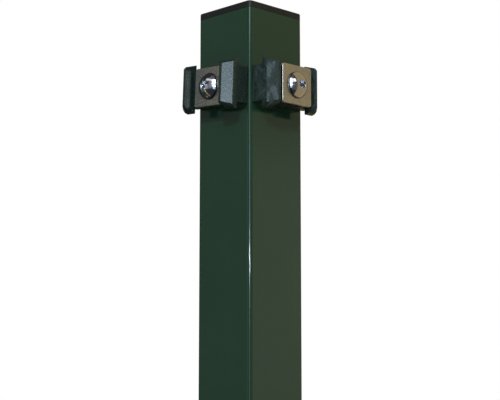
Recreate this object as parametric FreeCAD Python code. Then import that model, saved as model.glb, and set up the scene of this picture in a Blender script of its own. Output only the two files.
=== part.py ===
import FreeCAD
import Part
import math
import os
from FreeCAD import Vector

# Corner post for welded mesh fence panels: a square steel tube with a plastic plug cap,
# and screw clamps on two neighbouring faces. Millimetres, +Z up, the origin on the
# tube's centre line at its foot. Left is the -Y face and right is the +X face.

# Tube
tube_side = 60.0
tube_wall = 1.5
tube_corner_radius = 3.5
tube_end_radius = 0.4
tube_length = 1500.0

# Plug cap
cap_thickness = 5.3
cap_edge_radius = 1.0
cap_skirt_depth = 20.0
cap_skirt_wall = 2.0
cap_skirt_inset = 2.0
cap_skirt_corner_radius = 4.0
cap_fin_count = 3
cap_fin_thickness = 1.0
cap_fin_foot_gap = 3.5
cap_fin_pitch = 5.0
cap_fit_clearance = 0.1
cap_rib_thickness = 1.6

# Clamp positions on both faces
clamp_drop = 61.9
clamp_pitch = 400.0
clamp_levels = ("top", "middle", "bottom")

# Degrees that a clamp sits askew on its screw, with its -X side raised
clamp_turn = {("left", "top"): 2.6}

# Moulded holder: a base block against the tube, and a taller ridge along each side
holder_width = 57.4
holder_height = 28.3
holder_depth = 13.1
holder_back_radius = 2.0
ridge_width = 9.3
ridge_height = 39.2
ridge_reach = 23.4
ridge_setback = 0.9
ridge_bevel = 6.5
ridge_end_slant = 3.2
ridge_end_cut_share = 0.34
ridge_end_cut_height = 1.7
ridge_end_radius = 0.6
ridge_edge_radius = 0.4

# Hollows that the mould leaves behind the base block
hollow_depth = 8.5
hollow_wall = 2.6
hollow_rib = 2.2
hollow_corner_radius = 1.2
hollow_boss_radius = 11.0

# Grooves that hold a panel's end wires
wire_diameter = 6.0
groove_clearance = 0.2
groove_depth = 2.0
groove_offset = 10.6

# Clamping plate
plate_width = 32.8
plate_height = 31.0
plate_thickness = 2.5
plate_corner_radius = 2.0
plate_edge_bevel = 0.3
plate_standoff = {"left": 0.0, "right": 6.7}

# Screw
thread_diameter = 8.0
thread_clearance = 0.05
screw_hole_clearance = 0.5
screw_length = 40.0
screw_tip_bevel = 1.0
head_diameter = 21.0
head_rim = 1.1
head_rim_bevel = 0.9
dome_radius = 12.8
socket_across_flats = 6.0
socket_depth = 4.0
socket_mouth_diameter = 7.6

# Rivet nut
nut_body_diameter = 10.8
nut_hole_clearance = 0.1
nut_length = 17.0
nut_flange_diameter = 15.0
nut_flange_thickness = 1.2
nut_bulge_diameter = 14.6
nut_bulge_length = 4.0
nut_recess_clearance = 0.4

# How far a cutting shape runs past the face that it cuts
cut_margin = 1.0

half_side = tube_side / 2
inner_side = tube_side - 2 * tube_wall
inner_corner_radius = tube_corner_radius - tube_wall
screw_hole_radius = thread_diameter / 2 + screw_hole_clearance
tolerance = 0.001


def box_between(low, high):
    # A box given by its lowest and highest corners.
    size = Vector(*high) - Vector(*low)
    return Part.makeBox(size.x, size.y, size.z, Vector(*low))


def edges_along(shape, direction, test=None):
    # Straight edges that run along one direction and pass a test on their middle point.
    found = []
    for edge in shape.Edges:
        if not isinstance(edge.Curve, Part.Line):
            continue
        if abs(edge.Curve.Direction.dot(direction)) < 1 - tolerance:
            continue
        middle = edge.valueAt((edge.FirstParameter + edge.LastParameter) / 2)
        if test is None or test(middle):
            found.append(edge)
    return found


def square_bar(side, corner_radius, low_z, high_z):
    # An upright square bar on the centre line, with rounded corners.
    half = side / 2
    bar = box_between((-half, -half, low_z), (half, half, high_z))
    return bar.makeFillet(corner_radius, edges_along(bar, Vector(0, 0, 1)))


def prism(points, direction):
    # A closed outline pushed along a direction.
    outline = Part.makePolygon([Vector(*point) for point in points + points[:1]])
    return Part.Face(outline).extrude(Vector(*direction))


def turned(outline):
    # A profile of (radius, out) points turned about the screw's axis. Out is along -Y.
    wire = Part.makePolygon([Vector(radius, -out, 0) for radius, out in outline + outline[:1]])
    return Part.Face(wire).revolve(Vector(0, 0, 0), Vector(0, 1, 0), 360)


def rod(radius, low_out, high_out):
    # A round bar along the screw's axis, between two distances out from the tube's face.
    return Part.makeCylinder(radius, high_out - low_out, Vector(0, -low_out, 0), Vector(0, -1, 0))


def both_sides(shape, normal):
    # A shape and its mirror image in a plane through the origin.
    return shape.fuse(shape.mirror(Vector(0, 0, 0), normal))


def clamp_height(level):
    # Height of a clamp's screw above the foot.
    return tube_length - clamp_drop - clamp_levels.index(level) * clamp_pitch


def on_face(shape, side, level):
    # Moves a clamp piece from its own frame to its place on the tube.
    placed = shape.copy()
    placed.translate(Vector(0, -half_side, clamp_height(level)))
    if side == "right":
        placed.rotate(Vector(0, 0, 0), Vector(0, 0, 1), 90)
    return placed


def askew(shape, side, level):
    # A clamp piece turned about its screw's axis, as far as its clamp sits askew.
    piece = shape.copy()
    piece.rotate(Vector(0, 0, 0), Vector(0, 1, 0), clamp_turn.get((side, level), 0))
    return piece


def make_tube():
    tube = square_bar(tube_side, tube_corner_radius, 0, tube_length)
    ends = [edge for edge in tube.Edges if edge.BoundBox.ZLength < tolerance]
    tube = tube.makeFillet(tube_end_radius, ends)
    bore = square_bar(inner_side, inner_corner_radius, -cut_margin, tube_length + cut_margin)
    tube = tube.cut(bore)
    hole = rod(nut_body_diameter / 2 + nut_hole_clearance, -tube_wall - cut_margin, cut_margin)
    for side in ("left", "right"):
        for level in clamp_levels:
            tube = tube.cut(on_face(hole, side, level))
    return tube


def make_cap_skirt():
    # A square sleeve stiffened by two crossing ribs, open at its foot.
    side = inner_side - 2 * cap_skirt_inset
    foot = tube_length - cap_skirt_depth
    core_side = side - 2 * cap_skirt_wall
    core_radius = cap_skirt_corner_radius - cap_skirt_wall
    skirt = square_bar(side, cap_skirt_corner_radius, foot, tube_length)
    skirt = skirt.cut(square_bar(core_side, core_radius, foot - cut_margin, tube_length))
    reach = (core_side + cap_skirt_wall) / 2
    half_rib = cap_rib_thickness / 2
    skirt = skirt.fuse(box_between((-reach, -half_rib, foot), (reach, half_rib, tube_length)))
    return skirt.fuse(box_between((-half_rib, -reach, foot), (half_rib, reach, tube_length)))


def make_cap_fin(low_z):
    # A thin square rim round the skirt that grips the tube's inside.
    side = inner_side - 2 * cap_fit_clearance
    radius = inner_corner_radius - cap_fit_clearance
    core_side = inner_side - 2 * cap_skirt_inset - cap_skirt_wall
    high_z = low_z + cap_fin_thickness
    fin = square_bar(side, radius, low_z, high_z)
    core = square_bar(core_side, cap_skirt_corner_radius - cap_skirt_wall / 2,
                      low_z - cut_margin, high_z + cut_margin)
    return fin.cut(core)


def make_cap():
    # A lid that covers the tube's end, and a hollow skirt with fins inside the tube.
    top = tube_length + cap_thickness
    lid = square_bar(tube_side, tube_corner_radius, tube_length, top)
    rim = [edge for edge in lid.Edges if edge.BoundBox.ZMin > top - tolerance]
    cap = lid.makeFillet(cap_edge_radius, rim).fuse(make_cap_skirt())
    for number in range(cap_fin_count):
        fin_foot = tube_length - cap_skirt_depth + cap_fin_foot_gap + number * cap_fin_pitch
        cap = cap.fuse(make_cap_fin(fin_foot))
    return cap.removeSplitter()


def make_ridge():
    # The right-hand ridge: a bar with slanted ends and a wide bevel along its outer side.
    # At both ends the crest and the bevel are cut back, and the cuts meet in a mitre.
    inner = holder_width / 2 - ridge_width
    crest = holder_width / 2 - ridge_bevel
    root = holder_depth - ridge_setback
    half = ridge_height / 2
    crest_half = half - ridge_end_slant
    cut_depth = ridge_end_cut_share * (ridge_reach - root - ridge_bevel)
    profile = [
        (inner, -root, -half),
        (inner, -ridge_reach, -crest_half),
        (inner, -ridge_reach, crest_half),
        (inner, -root, half),
    ]
    ridge = prism(profile, (ridge_width, 0, 0))
    outer_crest = edges_along(ridge, Vector(0, 0, 1),
                              lambda point: point.x > crest and point.y < -root - tolerance)
    ridge = ridge.makeChamfer(ridge_bevel, outer_crest)
    rise = ridge_end_slant / (ridge_reach - root)
    shoulder = crest_half + rise * cut_depth
    mitre = math.tan(math.radians(22.5))
    cut_section = [
        (crest, -ridge_reach, crest_half - ridge_end_cut_height),
        (crest - mitre * cut_depth, -ridge_reach + cut_depth, shoulder),
        (crest + mitre * cut_margin, -ridge_reach - cut_margin, half),
    ]
    for direction in ((-1, 0, 0), (1, 1, rise)):
        cut = prism(cut_section, [ridge_width * part for part in direction])
        ridge = ridge.cut(both_sides(cut, Vector(0, 0, 1)))
    lengthwise = edges_along(ridge, Vector(0, 0, 1), lambda point: point.y < -root - tolerance)
    ridge = ridge.makeFillet(ridge_edge_radius, lengthwise)
    ends = []
    for edge in ridge.Edges:
        lowest = min(abs(corner.Z) for corner in edge.Vertexes)
        across = edge.BoundBox.ZLength < half and edge.CenterOfMass.y < -root - tolerance
        if across and lowest > shoulder - tolerance:
            ends.append(edge)
    return ridge.makeFillet(ridge_end_radius, ends)


def make_hollows():
    # The pockets behind the base block, each side of the boss and of a level rib.
    low = (hollow_rib / 2, -hollow_depth, hollow_rib / 2)
    high = (holder_width / 2 - hollow_wall, cut_margin, holder_height / 2 - hollow_wall)
    pocket = box_between(low, high)
    pocket = pocket.makeFillet(hollow_corner_radius, edges_along(pocket, Vector(0, 1, 0)))
    pocket = pocket.cut(rod(hollow_boss_radius, -2 * cut_margin, hollow_depth + cut_margin))
    return both_sides(both_sides(pocket, Vector(0, 0, 1)), Vector(1, 0, 0))


def make_holder():
    half_width = holder_width / 2
    half_height = holder_height / 2
    block = box_between((-half_width, -holder_depth, -half_height), (half_width, 0, half_height))
    back = [edge for edge in block.Edges if edge.BoundBox.YMin > -tolerance]
    block = block.makeFillet(holder_back_radius, back)
    holder = block.fuse(both_sides(make_ridge(), Vector(1, 0, 0))).removeSplitter()
    groove_radius = wire_diameter / 2 + groove_clearance
    groove_out = holder_depth - groove_depth + groove_radius
    for sign in (-1, 1):
        start = Vector(sign * groove_offset, -groove_out, -ridge_height)
        holder = holder.cut(Part.makeCylinder(groove_radius, 2 * ridge_height, start, Vector(0, 0, 1)))
    holder = holder.cut(make_hollows())
    recess_radius = nut_flange_diameter / 2 + nut_recess_clearance
    holder = holder.cut(rod(recess_radius, -cut_margin, nut_flange_thickness + nut_recess_clearance))
    return holder.cut(rod(screw_hole_radius, -cut_margin, ridge_reach))


def make_plate(side):
    back = holder_depth + plate_standoff[side]
    front = back + plate_thickness
    low = (-plate_width / 2, -front, -plate_height / 2)
    high = (plate_width / 2, -back, plate_height / 2)
    plate = box_between(low, high)
    plate = plate.makeFillet(plate_corner_radius, edges_along(plate, Vector(0, 1, 0)))
    rim = [edge for edge in plate.Edges if edge.BoundBox.YMax < -front + tolerance]
    plate = plate.makeChamfer(plate_edge_bevel, rim)
    return plate.cut(rod(screw_hole_radius, back - cut_margin, front + cut_margin))


def make_socket(mouth_out):
    # The six-sided recess, with a cone that leads into it.
    corner_radius = socket_across_flats / math.sqrt(3)
    corners = []
    for number in range(6):
        angle = math.radians(60 * number + 30)
        across = corner_radius * math.cos(angle)
        up = corner_radius * math.sin(angle)
        corners.append((across, -mouth_out - cut_margin, up))
    recess = prism(corners, (0, socket_depth + cut_margin, 0))
    mouth_radius = socket_mouth_diameter / 2
    flats_radius = socket_across_flats / 2
    cone_out = mouth_out - (mouth_radius - flats_radius)
    mouth = turned([
        (0, cone_out),
        (flats_radius, cone_out),
        (mouth_radius, mouth_out),
        (mouth_radius, mouth_out + cut_margin),
        (0, mouth_out + cut_margin),
    ])
    return recess.fuse(mouth)


def make_screw(side):
    # A low domed head with a six-sided socket, on a straight shank.
    seat = holder_depth + plate_standoff[side] + plate_thickness
    head_radius = head_diameter / 2
    dome_centre = seat + head_rim - math.sqrt(dome_radius ** 2 - head_radius ** 2)
    head = rod(head_radius, seat, seat + dome_radius)
    head = head.common(Part.makeSphere(dome_radius, Vector(0, -dome_centre, 0)))
    under = [edge for edge in head.Edges if edge.BoundBox.YMin > -seat - tolerance]
    head = head.makeChamfer(head_rim_bevel, under)
    mouth_radius = socket_mouth_diameter / 2
    mouth_out = dome_centre + math.sqrt(dome_radius ** 2 - mouth_radius ** 2)
    head = head.cut(make_socket(mouth_out))
    shank_radius = thread_diameter / 2 - thread_clearance
    tip = seat - screw_length
    shank = turned([
        (0, tip),
        (shank_radius - screw_tip_bevel, tip),
        (shank_radius, tip + screw_tip_bevel),
        (shank_radius, seat + head_rim / 2),
        (0, seat + head_rim / 2),
    ])
    return head.fuse(shank).removeSplitter()


def make_rivet_nut():
    # A flange outside the wall, a bulge drawn up behind it, and a threaded sleeve.
    bore_radius = thread_diameter / 2
    sleeve_radius = nut_body_diameter / 2
    bulge_radius = nut_bulge_diameter / 2
    flange_radius = nut_flange_diameter / 2
    return turned([
        (bore_radius, nut_flange_thickness),
        (flange_radius, nut_flange_thickness),
        (flange_radius, 0),
        (sleeve_radius, 0),
        (sleeve_radius, -tube_wall),
        (bulge_radius, -tube_wall),
        (bulge_radius, -tube_wall - nut_bulge_length / 2),
        (sleeve_radius, -tube_wall - nut_bulge_length),
        (sleeve_radius, -nut_length),
        (bore_radius, -nut_length),
    ])


def main():
    os.makedirs("parts", exist_ok=True)
    pieces = {"post_tube": make_tube(), "post_cap": make_cap()}
    holder = make_holder()
    rivet_nut = make_rivet_nut()
    for side in ("left", "right"):
        plate = make_plate(side)
        screw = make_screw(side)
        for level in clamp_levels:
            name = side + "_" + level + "_"
            pieces[name + "holder"] = on_face(askew(holder, side, level), side, level)
            pieces[name + "plate"] = on_face(askew(plate, side, level), side, level)
            pieces[name + "screw"] = on_face(screw, side, level)
            pieces[name + "rivet_nut"] = on_face(rivet_nut, side, level)
    for name, shape in pieces.items():
        shape.exportStep("parts/" + name + ".step")
        box = shape.BoundBox
        print(name, shape.ShapeType, len(shape.Solids), shape.isValid(), round(shape.Volume, 1),
              round(box.XLength, 2), round(box.YLength, 2), round(box.ZLength, 2))


main()
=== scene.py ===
import bmesh
import bpy
import math
from mathutils import Matrix, Vector


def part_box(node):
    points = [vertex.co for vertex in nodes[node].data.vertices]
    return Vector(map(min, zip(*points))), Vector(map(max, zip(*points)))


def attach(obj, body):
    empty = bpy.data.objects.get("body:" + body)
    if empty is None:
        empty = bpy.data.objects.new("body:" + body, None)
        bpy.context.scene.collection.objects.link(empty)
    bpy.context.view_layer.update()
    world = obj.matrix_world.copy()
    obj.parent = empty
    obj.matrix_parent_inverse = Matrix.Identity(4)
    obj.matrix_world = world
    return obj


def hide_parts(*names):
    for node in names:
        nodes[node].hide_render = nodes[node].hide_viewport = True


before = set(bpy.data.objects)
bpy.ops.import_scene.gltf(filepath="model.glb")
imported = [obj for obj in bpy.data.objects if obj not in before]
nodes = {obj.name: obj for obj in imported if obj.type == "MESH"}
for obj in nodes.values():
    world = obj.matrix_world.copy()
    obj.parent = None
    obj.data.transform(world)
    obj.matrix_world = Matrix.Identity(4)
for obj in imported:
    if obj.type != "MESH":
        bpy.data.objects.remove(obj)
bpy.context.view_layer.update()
sides = ("left", "right")
levels = ("top", "middle", "bottom")
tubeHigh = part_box("post_tube")[1]
clampHeight = {}
for level in levels:
    holderLow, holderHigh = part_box("left_" + level + "_holder")
    clampHeight[level] = (holderLow.z + holderHigh.z) / 2
print("frame loaded:", len(nodes), "pieces")


def aroundPost(azimuth, elevation, distance, height):
    # a point seen from the post's axis at some height, azimuth 0 is towards -Y
    a = math.radians(azimuth)
    e = math.radians(elevation)
    flat = distance * math.cos(e)
    return Vector((flat * math.sin(a), -flat * math.cos(a), height + distance * math.sin(e)))


photoView = {
    # degrees
    "azimuth": 45.369,
    "lookUp": 5.750,
    "roll": 0.017,
    # metres
    "distance": 0.8246,        # from the post's axis
    "belowTubeTop": 0.2316,
    "sideways": -0.00017,
    "clip": (0.02, 60),
    # millimetres
    "lens": 73.68,
    "sensorWidth": 36,
}


def makeCamera(view):
    azimuth = math.radians(view["azimuth"])
    pitch = math.radians(view["lookUp"])
    roll = math.radians(view["roll"])
    outward = Vector((math.sin(azimuth), -math.cos(azimuth), 0))
    right = Vector((math.cos(azimuth), math.sin(azimuth), 0))
    upright = Vector((0, 0, 1))
    spot = outward * view["distance"] + right * view["sideways"]
    spot.z = tubeHigh.z - view["belowTubeTop"]
    back = outward * math.cos(pitch) - upright * math.sin(pitch)
    up = upright * math.cos(pitch) + outward * math.sin(pitch)
    side = right * math.cos(roll) + up * math.sin(roll)
    up = up * math.cos(roll) - right * math.sin(roll)
    lens = bpy.data.cameras.new("photoCamera")
    lens.lens = view["lens"]
    lens.sensor_width = view["sensorWidth"]
    lens.sensor_fit = "HORIZONTAL"
    lens.clip_start, lens.clip_end = view["clip"]
    camera = bpy.data.objects.new("photoCamera", lens)
    bpy.context.scene.collection.objects.link(camera)
    turn = Matrix((side, up, back)).transposed().to_4x4()
    camera.matrix_world = Matrix.Translation(spot) @ turn
    bpy.context.scene.camera = camera


makeCamera(photoView)
bpy.context.scene.view_settings.view_transform = "Standard"
print("camera placed")


def newFinish(name, values):
    material = bpy.data.materials.new(name)
    material.use_nodes = True
    shader = material.node_tree.nodes["Principled BSDF"]
    for socket, value in values.items():
        shader.inputs[socket].default_value = value
    return material, material.node_tree, shader


def place(tree, kind, settings=None, inputs=None):
    # a node with its settings, and its inputs by name or number
    node = tree.nodes.new(kind)
    for key, value in (settings or {}).items():
        setattr(node, key, value)
    for key, value in (inputs or {}).items():
        if isinstance(value, bpy.types.NodeSocket):
            tree.links.new(value, node.inputs[key])
        else:
            node.inputs[key].default_value = value
    return node


def reckon(tree, operation, first, second=0.5):
    node = place(tree, "ShaderNodeMath", {"operation": operation}, {0: first, 1: second})
    return node.outputs[0]


def reckonVectors(tree, operation, *terms):
    return place(tree, "ShaderNodeVectorMath", {"operation": operation}, dict(enumerate(terms)))


def grain(tree, scale, detail=3, stretch=(1, 1, 1)):
    # noise in the part's own metres, scale is in features per metre
    where = place(tree, "ShaderNodeTexCoord")
    sized = place(tree, "ShaderNodeMapping", None,
                  {"Vector": where.outputs["Object"], "Scale": stretch})
    noise = place(tree, "ShaderNodeTexNoise", None,
                  {"Vector": sized.outputs["Vector"], "Scale": scale, "Detail": detail})
    return noise.outputs["Fac"]


def between(tree, fac, low, high, fromLow=0.3, fromHigh=0.7):
    # a number that follows another one, as a rule a noise, between two values
    node = place(tree, "ShaderNodeMapRange", None, {
        "Value": fac, "From Min": fromLow, "From Max": fromHigh, "To Min": low, "To Max": high})
    return node.outputs["Result"]


def blendColour(tree, fac, first, second):
    node = place(tree, "ShaderNodeMix", {"data_type": "RGBA"}, {"Factor": fac})
    for socket, value in ((node.inputs[6], first), (node.inputs[7], second)):
        if isinstance(value, bpy.types.NodeSocket):
            tree.links.new(value, socket)
        else:
            socket.default_value = value
    return node.outputs[2]


def finishFrom(tree, shader, tint, roughness, height, distance):
    # distance is how high the bumps stand, metres
    bump = place(tree, "ShaderNodeBump", None,
                 {"Height": height, "Distance": distance, "Strength": 1.0})
    tree.links.new(tint, shader.inputs["Base Color"])
    tree.links.new(roughness, shader.inputs["Roughness"])
    tree.links.new(bump.outputs["Normal"], shader.inputs["Normal"])


powderCoat = {
    "green": (0.0108, 0.0356, 0.0196, 1),
    "deepGreen": (0.0097, 0.0320, 0.0176, 1),
    "cloudScale": 14,          # every scale is in features per metre
    "zinc": (0.42, 0.43, 0.44, 1),
    "spangle": (0.336, 0.344, 0.352, 1),
    "spangleScale": 160,
    "ior": 1.5,
    "roughness": (0.08, 0.11),
    "roughScale": 45,
    "peelScale": 900,          # orange peel
    "peelHeight": 0.000008,
    "coatDepth": 0.0288,       # inside this half width the tube is bare
}


def makePowderCoat(look):
    material, tree, shader = newFinish("powderCoat", {"IOR": look["ior"]})
    cloud = between(tree, grain(tree, look["cloudScale"], 2), 0, 1)
    coat = blendColour(tree, cloud, look["green"], look["deepGreen"])
    spangle = between(tree, grain(tree, look["spangleScale"], 1), 0, 1)
    bare = blendColour(tree, spangle, look["zinc"], look["spangle"])
    where = place(tree, "ShaderNodeTexCoord")
    parts = place(tree, "ShaderNodeSeparateXYZ", None, {0: where.outputs["Object"]})
    across = reckon(tree, "MAXIMUM", reckon(tree, "ABSOLUTE", parts.outputs["X"]),
                    reckon(tree, "ABSOLUTE", parts.outputs["Y"]))
    inside = reckon(tree, "LESS_THAN", across, look["coatDepth"])
    tree.links.new(inside, shader.inputs["Metallic"])
    roughness = between(tree, grain(tree, look["roughScale"]), *look["roughness"])
    finishFrom(tree, shader, blendColour(tree, inside, coat, bare), roughness,
               grain(tree, look["peelScale"], 2), look["peelHeight"])
    return material


capPlastic = {
    "black": (0.0085, 0.0090, 0.0090, 1),
    "worn": (0.0125, 0.0127, 0.0124, 1),
    "wearScale": 60,
    "ior": 1.5,
    "gloss": 0.3,
    "roughness": (0.40, 0.50),
    "roughScale": 120,
    "grainScale": 2600,
    "grainHeight": 0.00001,
}


def makeCapPlastic(look):
    material, tree, shader = newFinish("capPlastic", {
        "IOR": look["ior"], "Specular IOR Level": look["gloss"]})
    wear = between(tree, grain(tree, look["wearScale"]), 0, 1)
    tint = blendColour(tree, wear, look["black"], look["worn"])
    roughness = between(tree, grain(tree, look["roughScale"]), *look["roughness"])
    finishFrom(tree, shader, tint, roughness, grain(tree, look["grainScale"], 2), look["grainHeight"])
    return material


holderPlastic = {
    # the sides are lit and shaded copies of one plastic: the right copy's paler mottle and brighter
    # scuff lines are painted sheen
    "left": {
        "green": (0.0065, 0.0150, 0.0118, 1),
        "pale": (0.0095, 0.0195, 0.0158, 1),
        "scuffedAndSheen": (0.0130, 0.0240, 0.0210, 1),
        "roughness": (0.19, 0.36),
        "mottleScale": 1400,
        "mottleStretch": (1, 1, 1),
        "gloss": 0.68,
    },
    "right": {
        "green": (0.0060, 0.0150, 0.0125, 1),
        "pale": (0.0160, 0.0290, 0.0270, 1),
        "scuffedAndSheen": (0.0400, 0.0600, 0.0600, 1),
        "roughness": (0.26, 0.80),
        "mottleScale": 240,
        "mottleStretch": (1, 1, 0.45),
        "gloss": 0.37,
    },
    "ior": 1.52,
    "paleFrom": (0.4, 0.62),       # of the mottle's own range
    "roughFrom": (0.38, 0.6),
    "grainScale": 1300,
    "grainHeight": 0.00006,
    "scuffAndSheenScale": 110,
    "scuffAndSheenStretch": (1, 1, 0.6),
    "scuffAndSheenWidth": 0.012,           # of the noise's own range
}


def makeHolderPlastic(side, look):
    values = look[side]
    material, tree, shader = newFinish("holderPlastic_" + side, {
        "IOR": look["ior"], "Specular IOR Level": values["gloss"]})
    mottle = grain(tree, values["mottleScale"], 3, values["mottleStretch"])
    # the pale mottle is random tone, and on the right copy also painted sheen
    pale = between(tree, mottle, 0, 1, *look["paleFrom"])
    tint = blendColour(tree, pale, values["green"], values["pale"])
    # scuffs are thin lines where a noise passes the middle of its range; on the right copy they are
    # also painted sheen streaks
    scuffAndSheen = grain(tree, look["scuffAndSheenScale"], 2, look["scuffAndSheenStretch"])
    scuffAndSheen = reckon(tree, "ABSOLUTE", reckon(tree, "SUBTRACT", scuffAndSheen, 0.5))
    scuffAndSheen = between(tree, scuffAndSheen, 1, 0, 0, look["scuffAndSheenWidth"])
    tint = blendColour(tree, scuffAndSheen, tint, values["scuffedAndSheen"])
    roughness = between(tree, mottle, *values["roughness"], *look["roughFrom"])
    finishFrom(tree, shader, tint, roughness, grain(tree, look["grainScale"], 2), look["grainHeight"])
    return material


plateSteel = {
    # the sides are lit and shaded copies of one steel: the right copy's darker bright and dull tints
    # are painted shade
    "left": {
        "bright": (0.67, 0.66, 0.59, 1),
        "dull": (0.575, 0.565, 0.505, 1),
        "specked": (0.29, 0.29, 0.26, 1),
    },
    "right": {
        "bright": (0.61, 0.59, 0.55, 1),
        "dull": (0.52, 0.50, 0.46, 1),
        "specked": (0.46, 0.44, 0.41, 1),
    },
    "roughness": (0.34, 0.42),
    "cloudScale": 130,
    "speckScale": 1100,
    "speckFrom": (0.42, 0.62),     # of the noise's own range
    "lineScale": 900,
    "lineStretch": (1, 1, 0.06),
    "lineHeight": 0.000006,
}


def makePlateSteel(side, look):
    tints = look[side]
    material, tree, shader = newFinish("plateSteel_" + side, {"Metallic": 1})
    cloud = grain(tree, look["cloudScale"], 4)
    tint = blendColour(tree, between(tree, cloud, 0, 1), tints["bright"], tints["dull"])
    speck = between(tree, grain(tree, look["speckScale"], 2), 0, 1, *look["speckFrom"])
    tint = blendColour(tree, speck, tint, tints["specked"])
    lines = grain(tree, look["lineScale"], 3, look["lineStretch"])
    roughness = between(tree, cloud, *look["roughness"])
    finishFrom(tree, shader, tint, roughness, lines, look["lineHeight"])
    return material


polishedSteel = {
    "bright": (0.70, 0.70, 0.73, 1),
    "dull": (0.60, 0.60, 0.64, 1),
    "cloudScale": 260,
    # painted shade: the head's rim, where it meets the plate, and the socket's hollow are darkened
    "paintedShade": (0.045, 0.048, 0.055, 1),
    "rimShadeFrom": (0.94, 0.985),     # shares of the head's radius, none and full at the rim
    "socketWithin": (0.31, 0.27),  # the same for the socket
    "socketShadeShare": 0.55,            # share of the painted shade's colour in the socket
    "roughness": (0.11, 0.15),
    "turning": 0.9,                # how far the turning marks draw a highlight out
    "drawnOut": 0.25,              # share of a full turn, so towards the socket
    "markScale": 300,
    "markHeight": 0.000004,
}


def makePolishedSteel(look, axis):
    # axis is the screw's own
    material, tree, shader = newFinish("polishedSteel_" + axis, {
        "Metallic": 1, "Anisotropic": look["turning"], "Anisotropic Rotation": look["drawnOut"]})
    around = place(tree, "ShaderNodeTangent", {"direction_type": "RADIAL", "axis": axis})
    tree.links.new(around.outputs["Tangent"], shader.inputs["Tangent"])
    cloud = grain(tree, look["cloudScale"])
    tint = blendColour(tree, between(tree, cloud, 0, 1), look["bright"], look["dull"])
    # reach is 0 on the screw's axis and 1 at the head's rim
    where = place(tree, "ShaderNodeTexCoord")
    across = (1, 0, 1) if axis == "Y" else (0, 1, 1)
    centred = reckonVectors(tree, "MULTIPLY_ADD", where.outputs["Generated"], (2, 2, 2), (-1, -1, -1))
    flat = reckonVectors(tree, "MULTIPLY", centred.outputs[0], across)
    reach = reckonVectors(tree, "LENGTH", flat.outputs[0]).outputs["Value"]
    # painted shade darkens the head's rim and the socket's hollow
    atRim = between(tree, reach, 0, 1, *look["rimShadeFrom"])
    inSocket = between(tree, reach, 0, look["socketShadeShare"], *look["socketWithin"])
    tint = blendColour(tree, reckon(tree, "MAXIMUM", atRim, inSocket), tint, look["paintedShade"])
    roughness = between(tree, cloud, *look["roughness"])
    finishFrom(tree, shader, tint, roughness, grain(tree, look["markScale"], 4), look["markHeight"])
    return material


zincSteel = {
    "bright": (0.68, 0.66, 0.58, 1),
    "dull": (0.5, 0.49, 0.44, 1),
    "cloudScale": 400,
    "roughness": (0.3, 0.45),
    "grainScale": 1500,
    "grainHeight": 0.00001,
}


def makeZincSteel(look):
    material, tree, shader = newFinish("zincSteel", {"Metallic": 1})
    cloud = grain(tree, look["cloudScale"])
    tint = blendColour(tree, between(tree, cloud, 0, 1), look["bright"], look["dull"])
    roughness = between(tree, cloud, *look["roughness"])
    finishFrom(tree, shader, tint, roughness, grain(tree, look["grainScale"], 2), look["grainHeight"])
    return material


def dress(name, material):
    mesh = nodes[name].data
    mesh.materials.clear()
    mesh.materials.append(material)


dress("post_tube", makePowderCoat(powderCoat))
dress("post_cap", makeCapPlastic(capPlastic))
screwFinish = {
    "left": makePolishedSteel(polishedSteel, "Y"),
    "right": makePolishedSteel(polishedSteel, "X"),
}
nutFinish = makeZincSteel(zincSteel)
for side in sides:
    holderFinish = makeHolderPlastic(side, holderPlastic)
    plateFinish = makePlateSteel(side, plateSteel)
    for level in levels:
        dress(side + "_" + level + "_holder", holderFinish)
        dress(side + "_" + level + "_plate", plateFinish)
        dress(side + "_" + level + "_screw", screwFinish[side])
        dress(side + "_" + level + "_rivet_nut", nutFinish)
print("finishes made")


screwForm = {
    "length": 0.040,           # under the head
    "rim": 0.0011,
    "rimBevel": 0.0009,
    "domeRadius": 0.0128,
    "edgeRound": 0.0001,       # where the polishing rounds the head's edges
    "socketFlats": 0.006,
    "socketDepth": 0.004,
    "socketDrill": 0.0005,     # the drilled cone in the socket's floor
    "mouthRadius": 0.0038,
    "threadRadius": 0.00395,
    "pitch": 0.00125,
    "threadDepth": 0.541,      # share of the pitch
    "threadProfile": (         # share of the pitch along, height
        (0.125, 0), (0.4375, 1), (0.5625, 1), (0.875, 0)),
    "neck": 0.0018,            # plain shank under the head
    "tipBevel": 0.001,
    "headSteps": 96,           # a whole number of times threadSteps
    "threadSteps": 32,
    "domeRings": 24,
    "sharpFrom": 28,           # degrees between faces
}


def threadRoot(form):
    return form["threadRadius"] - form["threadDepth"] * form["pitch"]


def onScrew(radius, out, angle, turn):
    # a point round the screw's axis, out is along -Y before the turn
    return turn @ Vector((radius * math.cos(angle), -out, radius * math.sin(angle)))


def hexReach(form, angle):
    # from the socket's axis to its wall
    offset = (angle + math.pi / 6) % (math.pi / 3) - math.pi / 6
    return form["socketFlats"] / 2 / math.cos(offset)


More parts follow.
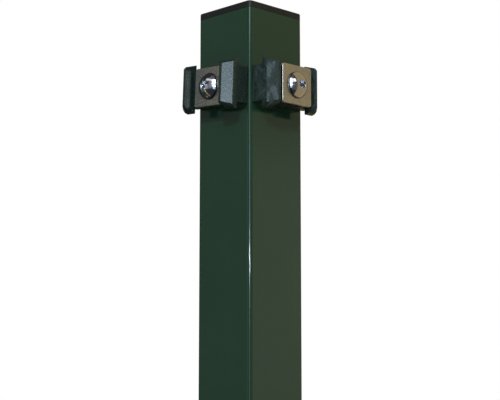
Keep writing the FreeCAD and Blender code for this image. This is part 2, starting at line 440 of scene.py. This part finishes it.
def screwHeadRings(form, seat, headRadius, crest):
    # rings of (radius, out) from the socket's floor over the dome to the underside
    steps = form["headSteps"]
    mouth = form["mouthRadius"]
    dome = form["domeRadius"]
    rounding = form["edgeRound"]
    reach = [hexReach(form, 2 * math.pi * i / steps) for i in range(steps)]
    rings = [[(r, crest - form["socketDepth"]) for r in reach]]
    # the mouth is a cone of 45 degrees, so the socket's corners reach further out
    rings.append([(r, crest - mouth + r) for r in reach])
    rings.append([(mouth - rounding, crest - rounding)] * steps)
    centre = seat + form["rim"] - math.sqrt(dome ** 2 - headRadius ** 2)
    first = mouth + rounding
    last = headRadius - rounding
    for i in range(form["domeRings"] + 1):
        radius = first + (last - first) * i / form["domeRings"]
        rings.append([(radius, centre + math.sqrt(dome ** 2 - radius ** 2))] * steps)
    rings.append([(headRadius, seat + form["rim"] - rounding)] * steps)
    rings.append([(headRadius, seat + form["rimBevel"])] * steps)
    rings.append([(headRadius - form["rimBevel"], seat)] * steps)
    return rings


def putRing(shape, ring, turn):
    return [shape.verts.new(onScrew(radius, out, 2 * math.pi * i / len(ring), turn))
            for i, (radius, out) in enumerate(ring)]


def joinRings(shape, outer, inner):
    # the outer ring may have a whole number of steps for each of the inner one's
    count = len(inner)
    share = len(outer) // count
    for i in range(count):
        arc = [outer[(i * share + k) % len(outer)] for k in range(share + 1)]
        shape.faces.new(arc + [inner[(i + 1) % count], inner[i]])


def threadLines(shape, form, start, end, turn):
    # four lines that wind along the shank: root, crest, crest, root
    steps = form["threadSteps"]
    pitch = form["pitch"]
    root = threadRoot(form)
    count = int((start - end) / pitch * steps) - steps
    rows = []
    for i in range(count + 1):
        # the thread rises and runs out over one turn at each end
        ramp = min(1, i / steps, (count - i) / steps)
        angle = -2 * math.pi * i / steps
        row = []
        for along, height in form["threadProfile"]:
            radius = root + (form["threadRadius"] - root) * height * ramp
            out = start - pitch * (i / steps + along)
            row.append(shape.verts.new(onScrew(radius, out, angle, turn)))
        rows.append(row)
    return rows


def makeThread(shape, form, above, start, end, turn):
    # one unbroken skin from the ring above the thread to the ring below it
    steps = form["threadSteps"]
    rows = threadLines(shape, form, start, end, turn)
    last = len(rows) - 1
    for i in range(last):
        for k in range(3):
            shape.faces.new((rows[i][k], rows[i + 1][k], rows[i + 1][k + 1], rows[i][k + 1]))
        if i + steps < last:
            shape.faces.new((rows[i][3], rows[i + 1][3], rows[i + 1 + steps][0], rows[i + steps][0]))
    for i in range(steps - 1):
        shape.faces.new((above[-i % steps], above[-(i + 1) % steps], rows[i + 1][0], rows[i][0]))
    closing = [above[1], above[0]] + rows[0] + [rows[steps][0], rows[steps - 1][0]]
    shape.faces.new(closing)
    below = putRing(shape, [(threadRoot(form), end)] * steps, turn)
    first = last - steps
    for i in range(first, last - 1):
        shape.faces.new((rows[i][3], rows[i + 1][3], below[-(i + 1) % steps], below[-i % steps]))
    closing = [rows[last - 1][3]] + rows[last][::-1] + [rows[first][3]]
    closing += [below[-last % steps], below[-(last - 1) % steps]]
    shape.faces.new(closing)
    return below


def makeScrew(side, level, form, material):
    node = side + "_" + level + "_screw"
    low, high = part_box(node)
    headRadius = (high.z - low.z) / 2
    turn = Matrix.Translation((0, 0, (low.z + high.z) / 2))
    if side == "left":
        crest, tip = -low.y, -high.y
    else:
        crest, tip = high.x, low.x
        turn = turn @ Matrix.Rotation(math.radians(90), 4, "Z")
    seat = tip + form["length"]
    shape = bmesh.new()
    rings = [putRing(shape, ring, turn)
             for ring in screwHeadRings(form, seat, headRadius, crest)]
    socketFloor = rings[0]
    drilled = shape.verts.new(onScrew(0, crest - form["socketDepth"] - form["socketDrill"], 0, turn))
    for i in range(len(socketFloor)):
        shape.faces.new((drilled, socketFloor[i], socketFloor[(i + 1) % len(socketFloor)]))
    # the plain shank under the head, down to the thread's root
    steps = form["threadSteps"]
    shank = form["threadRadius"]
    root = threadRoot(form)
    start = seat - form["neck"]
    for radius, out in ((shank, seat), (shank, start + shank - root), (root, start)):
        rings.append(putRing(shape, [(radius, out)] * steps, turn))
    for outer, inner in zip(rings, rings[1:]):
        joinRings(shape, outer, inner)
    below = makeThread(shape, form, rings[-1], start, tip + form["tipBevel"] / 2, turn)
    end = putRing(shape, [(shank - form["tipBevel"], tip)] * steps, turn)
    joinRings(shape, below, end)
    shape.faces.new(end)
    bmesh.ops.recalc_face_normals(shape, faces=shape.faces)
    mesh = bpy.data.meshes.new(side + "_" + level + "_domed_screw")
    shape.to_mesh(mesh)
    shape.free()
    mesh.shade_smooth()
    mesh.set_sharp_from_angle(angle=math.radians(form["sharpFrom"]))
    mesh.materials.append(material)
    screw = bpy.data.objects.new(mesh.name, mesh)
    bpy.context.scene.collection.objects.link(screw)
    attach(screw, "root")
    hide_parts(node)


for side in sides:
    for level in levels:
        makeScrew(side, level, screwForm, screwFinish[side])
print("screws turned")


studio = {
    "ambient": (0.33, 0.34, 0.36, 1),
    "white": (1, 1, 1, 1),
    "shellRadius": 3.0,        # metres
    "shellSegments": (72, 36),
    "dim": (0.030, 0.032, 0.038, 1),
    "beige": (0.372, 0.298, 0.166, 1),
    "beigeFrom": (42, 2),      # degrees to the right of the camera, softness
    "floorColour": (0.80, 0.80, 0.79, 1),
    "floorRoughness": 0.9,
    "floorRadius": 5.0,
    "floorSegments": 96,
    "floorFade": (2.2, 4.6),   # where it turns into the white around it
}
softBoxes = {
    # degrees right of the camera (from, to), degrees up (from, to), softness, colour
    "leftWall": (-112, -70, -14, 30, 8, (0.17, 0.17, 0.15)),
    "leftEnd": (-74, -50, -12, 13, 5, (0.44, 0.42, 0.39)),
    "navy": (5, 40, -34, 16, 5, (0.07, 0.07, 0.075)),
    "rightLow": (79, 100, -12, 8, 4, (0.20, 0.24, 0.23)),
    "ceiling": (-60, 25, 54, 90, 5, (0.10, 0.10, 0.105)),
    "haze": (-44, -11, -14, 42, 9, (0.21, 0.22, 0.25)),
    "overhead": (-80, -4, 38, 48, 4, (1.2, 1.2, 1.16)),
    "mainSide": (-22, -11, 8, 44, 5, (0.9, 0.95, 1.05)),
    "main": (-11, 3, 15.5, 46, 1.5, (6.2, 7.4, 8.6)),
    "mainGap": (-11, 3, 8.5, 15.5, 1.5, (1.3, 1.8, 1.9)),
    "mainFoot": (-11, 3, -3.5, 8.5, 1.5, (2.4, 3.4, 4.6)),
    "mainEnd": (-11, 3, -22, -3.5, 2, (0.9, 1.3, 1.5)),
    "second": (16, 31, 21, 43, 2, (2.4, 2.4, 2.4)),
    "glintOne": (-82, -76, -26, -17, 1.2, (1.3, 1.2, 0.55)),
    "glintTwo": (-79, -73, -44, -36, 1.2, (1.1, 1.0, 0.45)),
    "glintThree": (-77, -70, -57, -50, 1.2, (1.0, 0.85, 0.40)),
    "glintFour": (-112, -104, -48, -42, 1.2, (1.0, 0.85, 0.40)),
}
lamps = {
    # azimuth, elevation, distance, size, strength at the post, colour, shows in gloss;
    # the window lamp is the highlight on the post's front edge
    "key": (38, 24, 2.2, 0.16, 0.46, (1.0, 1.0, 0.99), False),
    "umbrella": (34, 27, 1.9, 1.3, 0.27, (1.0, 1.0, 1.0), False),
    "window": (41, -2.5, 1.6, 0.05, 0.15, (0.80, 0.93, 1.0), True),
    "low": (129, 7, 2.4, 0.12, 0.16, (1.0, 0.95, 0.86), False),
}


def emitOnly(tree, colour):
    node = place(tree, "ShaderNodeEmission", None, {"Color": colour, "Strength": 1.0})
    return node.outputs[0]


def lightWorld(values):
    # white to the camera and in reflections, and a soft even light on the object
    world = bpy.data.worlds.new("studioWorld")
    bpy.context.scene.world = world
    world.use_nodes = True
    tree = world.node_tree
    tree.nodes.clear()
    path = place(tree, "ShaderNodeLightPath")
    seen = reckon(tree, "MAXIMUM", path.outputs["Is Camera Ray"], path.outputs["Is Glossy Ray"])
    seen = reckon(tree, "MAXIMUM", seen, path.outputs["Is Transmission Ray"])
    colour = blendColour(tree, seen, values["ambient"], values["white"])
    background = place(tree, "ShaderNodeBackground", None, {"Color": colour, "Strength": 1.0})
    out = place(tree, "ShaderNodeOutputWorld")
    tree.links.new(background.outputs[0], out.inputs["Surface"])


def softStep(tree, value, edge, softness):
    # 0 below an angle and 1 above it, both in degrees
    node = place(tree, "ShaderNodeMapRange", {"interpolation_type": "SMOOTHSTEP"},
                 {"Value": value, "From Min": math.radians(edge - softness),
                  "From Max": math.radians(edge + softness)})
    return node.outputs["Result"]


def softBand(tree, value, low, high, softness):
    # 1 between two angles
    fromLow = softStep(tree, value, low, softness)
    toHigh = reckon(tree, "SUBTRACT", 1.0, softStep(tree, value, high, softness))
    return reckon(tree, "MULTIPLY", fromLow, toHigh)


def shellAngles(tree, values):
    # how far round from the camera and how far up a point of the shell lies
    where = place(tree, "ShaderNodeTexCoord")
    turned = place(tree, "ShaderNodeVectorRotate", {"rotation_type": "Z_AXIS"},
                   {"Vector": where.outputs["Object"], "Angle": -math.radians(photoView["azimuth"])})
    parts = place(tree, "ShaderNodeSeparateXYZ", None, {0: turned.outputs[0]})
    ahead = reckon(tree, "MULTIPLY", parts.outputs["Y"], -1.0)
    turn = reckon(tree, "ARCTAN2", parts.outputs["X"], ahead)
    height = reckon(tree, "DIVIDE", parts.outputs["Z"], values["shellRadius"])
    return turn, reckon(tree, "ARCSINE", height)


def paintShell(values, boxes):
    material = bpy.data.materials.new("studioShell")
    material.use_nodes = True
    tree = material.node_tree
    tree.nodes.clear()
    turn, rise = shellAngles(tree, values)
    toRight = softStep(tree, turn, *values["beigeFrom"])
    colour = blendColour(tree, toRight, values["dim"], values["beige"])
    for left, right, low, high, softness, tint in boxes.values():
        mask = reckon(tree, "MULTIPLY", softBand(tree, turn, left, right, softness),
                      softBand(tree, rise, low, high, softness))
        colour = reckonVectors(tree, "MULTIPLY_ADD", mask, tint, colour).outputs[0]
    out = place(tree, "ShaderNodeOutputMaterial")
    tree.links.new(emitOnly(tree, colour), out.inputs["Surface"])
    return material


def makeShell(values, boxes):
    # the dim room and the soft boxes that gloss and metal reflect, seen by nothing else
    mesh = bpy.data.meshes.new("studioShell")
    shape = bmesh.new()
    around, upward = values["shellSegments"]
    bmesh.ops.create_uvsphere(shape, u_segments=around, v_segments=upward,
                              radius=values["shellRadius"])
    shape.to_mesh(mesh)
    shape.free()
    mesh.materials.append(paintShell(values, boxes))
    shell = bpy.data.objects.new("studioShell", mesh)
    bpy.context.scene.collection.objects.link(shell)
    shell.location.z = clampHeight["top"]
    for ray in ("camera", "diffuse", "transmission", "volume_scatter", "shadow"):
        setattr(shell, "visible_" + ray, False)


def makeFloor(values):
    mesh = bpy.data.meshes.new("studioFloor")
    shape = bmesh.new()
    bmesh.ops.create_circle(shape, cap_ends=True, segments=values["floorSegments"],
                            radius=values["floorRadius"])
    shape.to_mesh(mesh)
    shape.free()
    floor = bpy.data.objects.new("studioFloor", mesh)
    bpy.context.scene.collection.objects.link(floor)
    material, tree, shader = newFinish("studioFloor", {
        "Base Color": values["floorColour"], "Roughness": values["floorRoughness"]})
    where = place(tree, "ShaderNodeTexCoord")
    reach = reckonVectors(tree, "LENGTH", where.outputs["Object"]).outputs["Value"]
    rim = between(tree, reach, 0, 1, *values["floorFade"])
    path = place(tree, "ShaderNodeLightPath")
    seen = reckon(tree, "MULTIPLY", rim, path.outputs["Is Camera Ray"])
    mixed = place(tree, "ShaderNodeMixShader", None,
                  {0: seen, 1: shader.outputs[0], 2: emitOnly(tree, values["white"])})
    out = tree.nodes["Material Output"]
    tree.links.new(mixed.outputs[0], out.inputs["Surface"])
    mesh.materials.append(material)
    floor.visible_glossy = False


def makeLamp(name, azimuth, elevation, distance, size, strength, colour, glossy):
    # strength 1 would light a face square to the lamp as bright as it is painted
    data = bpy.data.lights.new(name, "AREA")
    data.shape = "DISK"
    data.size = size
    data.energy = strength * (math.pi * distance) ** 2
    data.color = colour
    lamp = bpy.data.objects.new(name, data)
    bpy.context.scene.collection.objects.link(lamp)
    lamp.location = aroundPost(azimuth, elevation, distance, clampHeight["top"])
    aim = Vector((0, 0, clampHeight["top"])) - lamp.location
    lamp.rotation_euler = aim.to_track_quat("-Z", "Y").to_euler()
    lamp.visible_glossy = glossy


lightWorld(studio)
makeShell(studio, softBoxes)
makeFloor(studio)
for lampName, lampValues in lamps.items():
    makeLamp(lampName, *lampValues)
print("studio lit")
